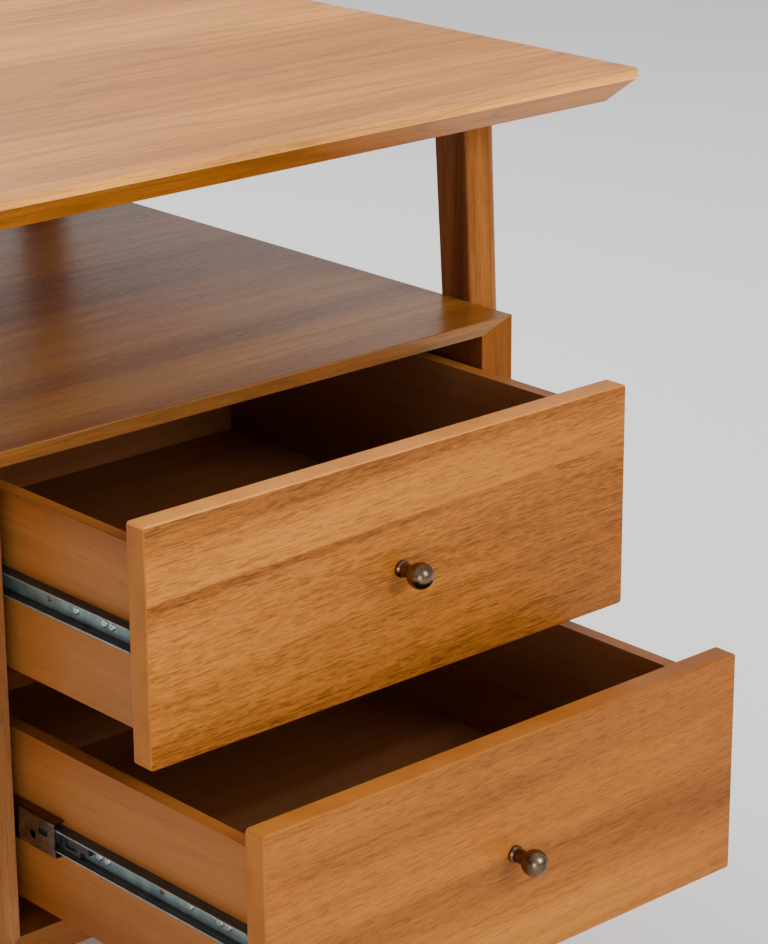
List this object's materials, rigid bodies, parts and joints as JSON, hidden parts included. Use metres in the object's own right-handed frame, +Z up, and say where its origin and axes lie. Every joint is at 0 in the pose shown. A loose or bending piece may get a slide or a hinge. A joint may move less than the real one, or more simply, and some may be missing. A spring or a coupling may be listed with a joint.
{
  "type": "corner desk",
  "caption": "Corner desk in warm veneer with splayed legs and a two-drawer pedestal hung under an open shelf, its drawers part-way open on steel slides",
  "frame": {"origin": "on the floor, below the middle of the worktop's outline", "axes": "+X runs along the main wing to the end with the drawers, +Y points to the wall behind the main wing, so the drawers open towards -Y, and +Z is up"},
  "size_m": [1.85, 1.6, 0.762],
  "materials": {
    "top_veneer": "satin",
    "front_veneer": "satin",
    "case_veneer": "satin",
    "leg_wood": "satin",
    "drawer_wood": "satin",
    "drawer_panel": "satin",
    "inner_wood": "satin",
    "dowel_wood": "matte",
    "zinc_steel": "satin",
    "bright_steel": "polished",
    "screw_steel": "satin",
    "black_plastic": "satin",
    "dark_bronze": "polished",
    "felt_glide": "matte"
  },
  "bodies": {
    "desk": {"apron_back": "leg_wood", "apron_dowels": "dowel_wood", "apron_front": "leg_wood", "apron_left": "leg_wood", "apron_return_end": "leg_wood", "apron_return_inner": "leg_wood", "case_back": "inner_wood", "case_bottom": "case_veneer", "case_leg_bolts": "screw_steel", "case_rail_middle": "inner_wood", "case_rail_top": "inner_wood", "case_side_left": "case_veneer", "case_side_right": "case_veneer", "case_slide_members": "zinc_steel", "case_slide_screws": "screw_steel", "case_top": "case_veneer", "joining_plate_screws": "screw_steel", "joining_plates": "zinc_steel", "leg_case_back_left": "leg_wood", "leg_case_back_right": "leg_wood", "leg_case_front_left": "leg_wood", "leg_case_front_right": "leg_wood", "leg_corner_back": "leg_wood", "leg_corner_inner": "leg_wood", "leg_glides": "felt_glide", "leg_return_inner": "leg_wood", "leg_return_outer": "leg_wood", "leg_top_bolts": "screw_steel", "worktop_main": "top_veneer", "worktop_return": "top_veneer"},
    "lower_drawer": {"lower_drawer_back": "drawer_wood", "lower_drawer_bottom": "drawer_panel", "lower_drawer_dowels": "dowel_wood", "lower_drawer_front": "front_veneer", "lower_drawer_knob": "dark_bronze", "lower_drawer_knob_screw": "screw_steel", "lower_drawer_release_levers": "black_plastic", "lower_drawer_side_left": "drawer_wood", "lower_drawer_side_right": "drawer_wood", "lower_drawer_slide_inner_members": "zinc_steel", "lower_drawer_slide_screws": "screw_steel"},
    "lower_inner_cages": {"lower_drawer_inner_ball_cages": "bright_steel"},
    "lower_outer_cages": {"lower_drawer_outer_ball_cages": "bright_steel"},
    "lower_middle_members": {"lower_drawer_slide_middle_members": "zinc_steel"},
    "upper_drawer": {"upper_drawer_back": "drawer_wood", "upper_drawer_bottom": "drawer_panel", "upper_drawer_dowels": "dowel_wood", "upper_drawer_front": "front_veneer", "upper_drawer_knob": "dark_bronze", "upper_drawer_knob_screw": "screw_steel", "upper_drawer_release_levers": "black_plastic", "upper_drawer_side_left": "drawer_wood", "upper_drawer_side_right": "drawer_wood", "upper_drawer_slide_inner_members": "zinc_steel", "upper_drawer_slide_screws": "screw_steel"},
    "upper_inner_cages": {"upper_drawer_inner_ball_cages": "bright_steel"},
    "upper_outer_cages": {"upper_drawer_outer_ball_cages": "bright_steel"},
    "upper_middle_members": {"upper_drawer_slide_middle_members": "zinc_steel"}
  },
  "joints": [
    {"name": "upper_drawer_slide", "type": "slide", "parent": "desk", "child": "upper_drawer", "axis": [0, -1, 0], "range_m": [-0.1645, 0.2855]},
    {"name": "upper_middle_members_slide", "type": "slide", "parent": "desk", "child": "upper_middle_members", "axis": [0, -1, 0], "range_m": [-0.08225, 0.14275]},
    {"name": "upper_outer_cages_slide", "type": "slide", "parent": "desk", "child": "upper_outer_cages", "axis": [0, -1, 0], "range_m": [-0.04113, 0.07137]},
    {"name": "upper_inner_cages_slide", "type": "slide", "parent": "desk", "child": "upper_inner_cages", "axis": [0, -1, 0], "range_m": [-0.12337, 0.21413]},
    {"name": "lower_drawer_slide", "type": "slide", "parent": "desk", "child": "lower_drawer", "axis": [0, -1, 0], "range_m": [-0.2855, 0.1645]},
    {"name": "lower_middle_members_slide", "type": "slide", "parent": "desk", "child": "lower_middle_members", "axis": [0, -1, 0], "range_m": [-0.14275, 0.08225]},
    {"name": "lower_outer_cages_slide", "type": "slide", "parent": "desk", "child": "lower_outer_cages", "axis": [0, -1, 0], "range_m": [-0.07137, 0.04113]},
    {"name": "lower_inner_cages_slide", "type": "slide", "parent": "desk", "child": "lower_inner_cages", "axis": [0, -1, 0], "range_m": [-0.21413, 0.12337]}
  ],
  "couplings": [
    {"joint": "upper_middle_members_slide", "follows": "upper_drawer_slide", "ratio": 0.5},
    {"joint": "upper_outer_cages_slide", "follows": "upper_drawer_slide", "ratio": 0.25},
    {"joint": "upper_inner_cages_slide", "follows": "upper_drawer_slide", "ratio": 0.75},
    {"joint": "lower_middle_members_slide", "follows": "lower_drawer_slide", "ratio": 0.5},
    {"joint": "lower_outer_cages_slide", "follows": "lower_drawer_slide", "ratio": 0.25},
    {"joint": "lower_inner_cages_slide", "follows": "lower_drawer_slide", "ratio": 0.75}
  ]
}
